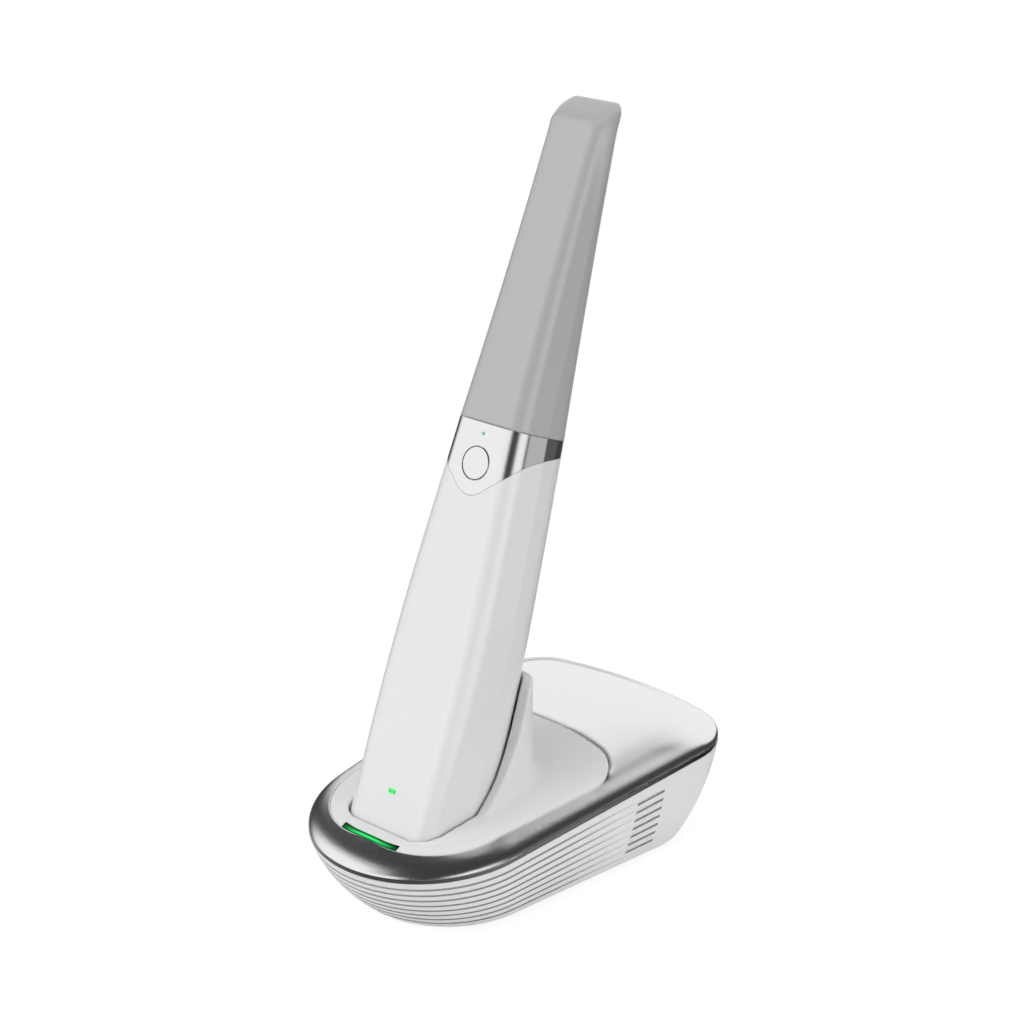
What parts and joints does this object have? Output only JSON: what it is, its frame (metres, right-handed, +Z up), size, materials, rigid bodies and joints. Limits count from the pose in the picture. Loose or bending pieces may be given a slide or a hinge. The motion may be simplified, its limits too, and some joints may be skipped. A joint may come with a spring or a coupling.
{
  "type": "intraoral scanner",
  "caption": "Hand-held dental scanning wand with a pull-off mirror tip and a push button, standing in a rounded charging cradle with a back rest and green lights.",
  "frame": {"origin": "on the table under the middle of the cradle", "axes": "+Z up, the cradle's nose and the wand's button side face -Y, +X to the right of the nose"},
  "size_m": [0.103, 0.1596, 0.2716],
  "materials": {
    "white_shell": "satin moulded",
    "white_cap": "matte moulded",
    "white_housing": "fine matte moulded",
    "satin_chrome": "satin plated",
    "bright_band": "polished",
    "grey_tip": "matte moulded",
    "tip_mirror": "front surface mirror",
    "green_light": "lit light guide",
    "circuit_board": "solder mask",
    "black_plastic": "matte moulded",
    "lens_barrel": "black anodised",
    "clear_glass": "polished",
    "shield_can": "plain",
    "heat_sink": "extruded",
    "battery_wrap": "shrink wrap",
    "gold_contact": "gold plated",
    "steel_screw": "zinc plated",
    "black_rubber": "matte"
  },
  "bodies": {
    "scanner": {"front_shell": "white_shell", "rear_shell": "white_shell", "tail_cap": "white_cap", "lower_housing": "white_housing", "bottom_plate": "white_housing", "cradle_insert": "white_housing", "button_collar": "satin_chrome", "top_cover": "satin_chrome", "trim_band": "bright_band", "status_light": "green_light", "tail_light": "green_light", "light_bar": "green_light", "main_board": "circuit_board", "button_board": "circuit_board", "camera_board": "circuit_board", "base_board": "circuit_board", "light_board": "circuit_board", "button_switch": "black_plastic", "nose_barrel": "black_plastic", "optics_frame": "black_plastic", "contact_block": "black_plastic", "power_inlet": "black_plastic", "camera_lens": "lens_barrel", "projector_lens": "lens_barrel", "nose_window": "clear_glass", "wireless_module": "shield_can", "radio_module": "shield_can", "vibration_motor": "shield_can", "data_port": "shield_can", "optics_sink": "heat_sink", "base_sink": "heat_sink", "battery_pack": "battery_wrap", "tail_contacts": "gold_contact", "dock_contacts": "gold_contact", "board_screws": "steel_screw", "tail_screws": "steel_screw", "plate_screws": "steel_screw", "base_screws": "steel_screw", "rubber_feet": "black_rubber", "nose_seal": "black_rubber"},
    "tip": {"tip_sleeve": "grey_tip", "tip_mirror": "tip_mirror"},
    "button": {"button_cap": "satin_chrome"}
  },
  "joints": [
    {"name": "tip_pull", "type": "slide", "parent": "scanner", "child": "tip", "axis": [0, 0.3722, 0.9282], "range_m": [0, 0.058]},
    {"name": "button_press", "type": "slide", "parent": "scanner", "child": "button", "axis": [0, 0.9282, -0.3722], "range_m": [0, 0.0006], "stiffness_N_per_m": 800}
  ]
}
